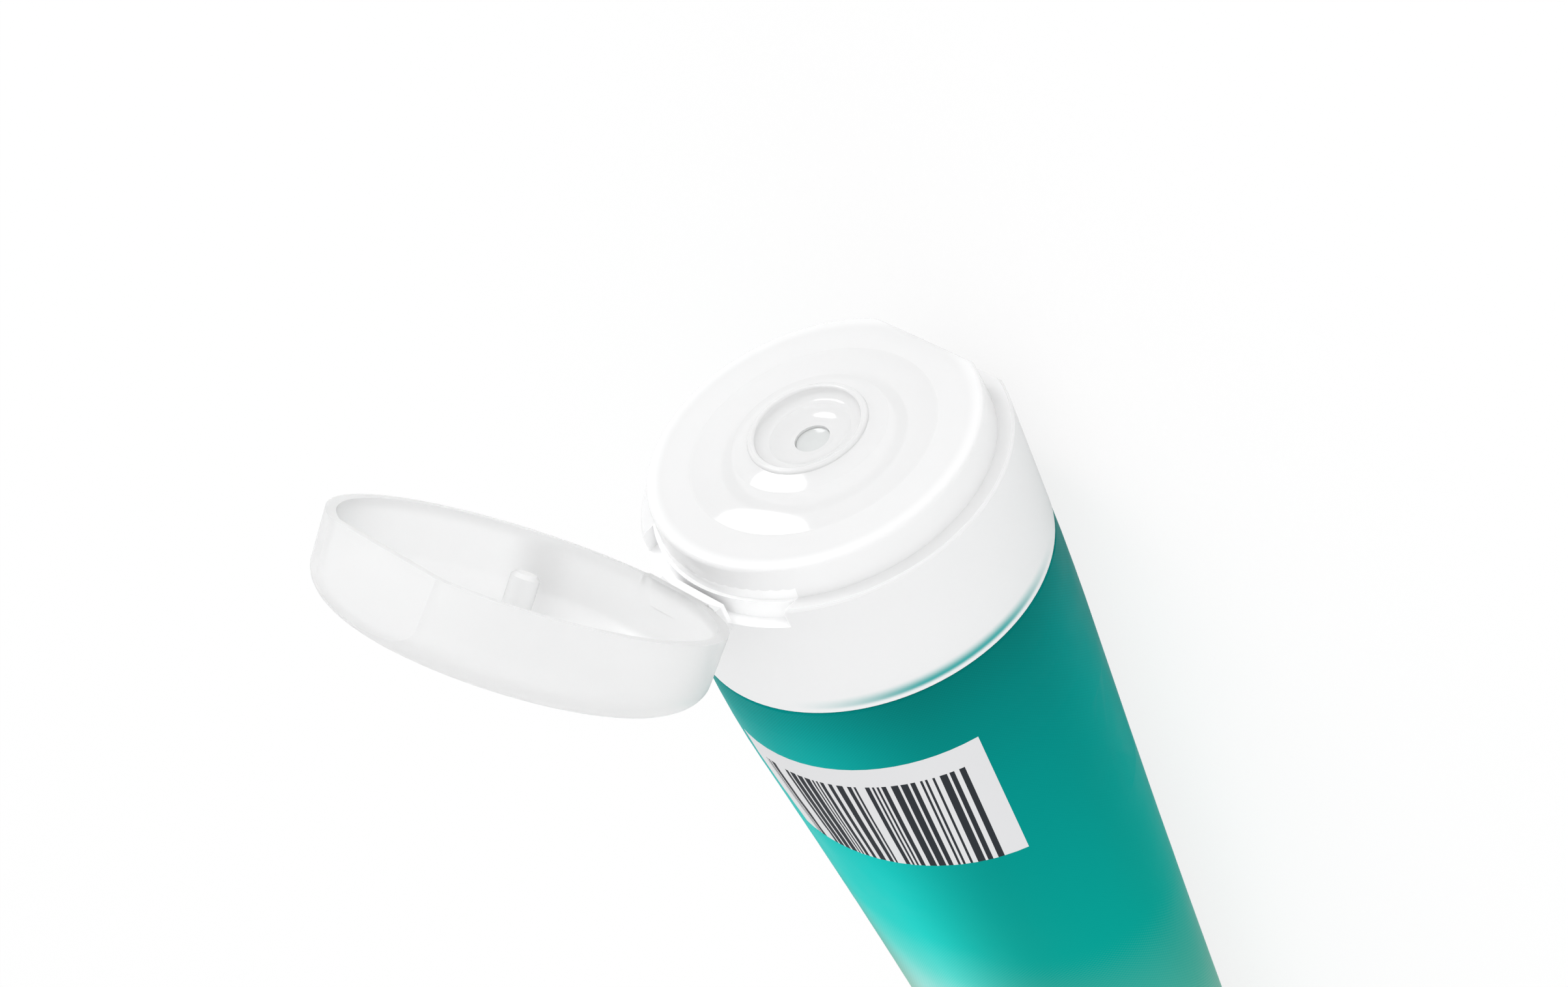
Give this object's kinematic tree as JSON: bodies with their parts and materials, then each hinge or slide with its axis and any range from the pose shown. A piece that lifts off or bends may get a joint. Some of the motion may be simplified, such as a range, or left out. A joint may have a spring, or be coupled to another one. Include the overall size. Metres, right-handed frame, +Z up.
{
  "type": "lubricant tube",
  "caption": "Squeeze tube of clear lubricant, round at the cap and flattened to a sealed tail, with a push-fit flip-top cap whose hinged lid stands open.",
  "frame": {"origin": "middle of the bounding box of the lying tube, on the surface it rests on", "axes": "+X from the sealed tail to the cap, +Y across the tube along the lid's hinge, +Z up"},
  "size_m": [0.2056, 0.062, 0.078],
  "materials": {
    "printed_sleeve": "turquoise print under a soft gloss varnish on white polyethylene",
    "white_head": "moulded white polyethylene",
    "clear_gel": "clear thick gel",
    "frosted_cap": "milky see-through polypropylene, satin outside and glossy on the deck"
  },
  "bodies": {
    "tube": {"tube_sleeve": "printed_sleeve", "tube_head": "white_head", "lubricant_gel": "clear_gel", "cap_base": "frosted_cap", "hinge_film": "frosted_cap"},
    "lid": {"cap_lid": "frosted_cap"}
  },
  "joints": [
    {"name": "lid_hinge", "type": "hinge", "parent": "tube", "child": "lid", "pos_m": [0.07558, 0, 0.04368], "axis": [0, -1, 0], "range_deg": [-130.4, 45], "deforming": ["hinge_film"]}
  ]
}
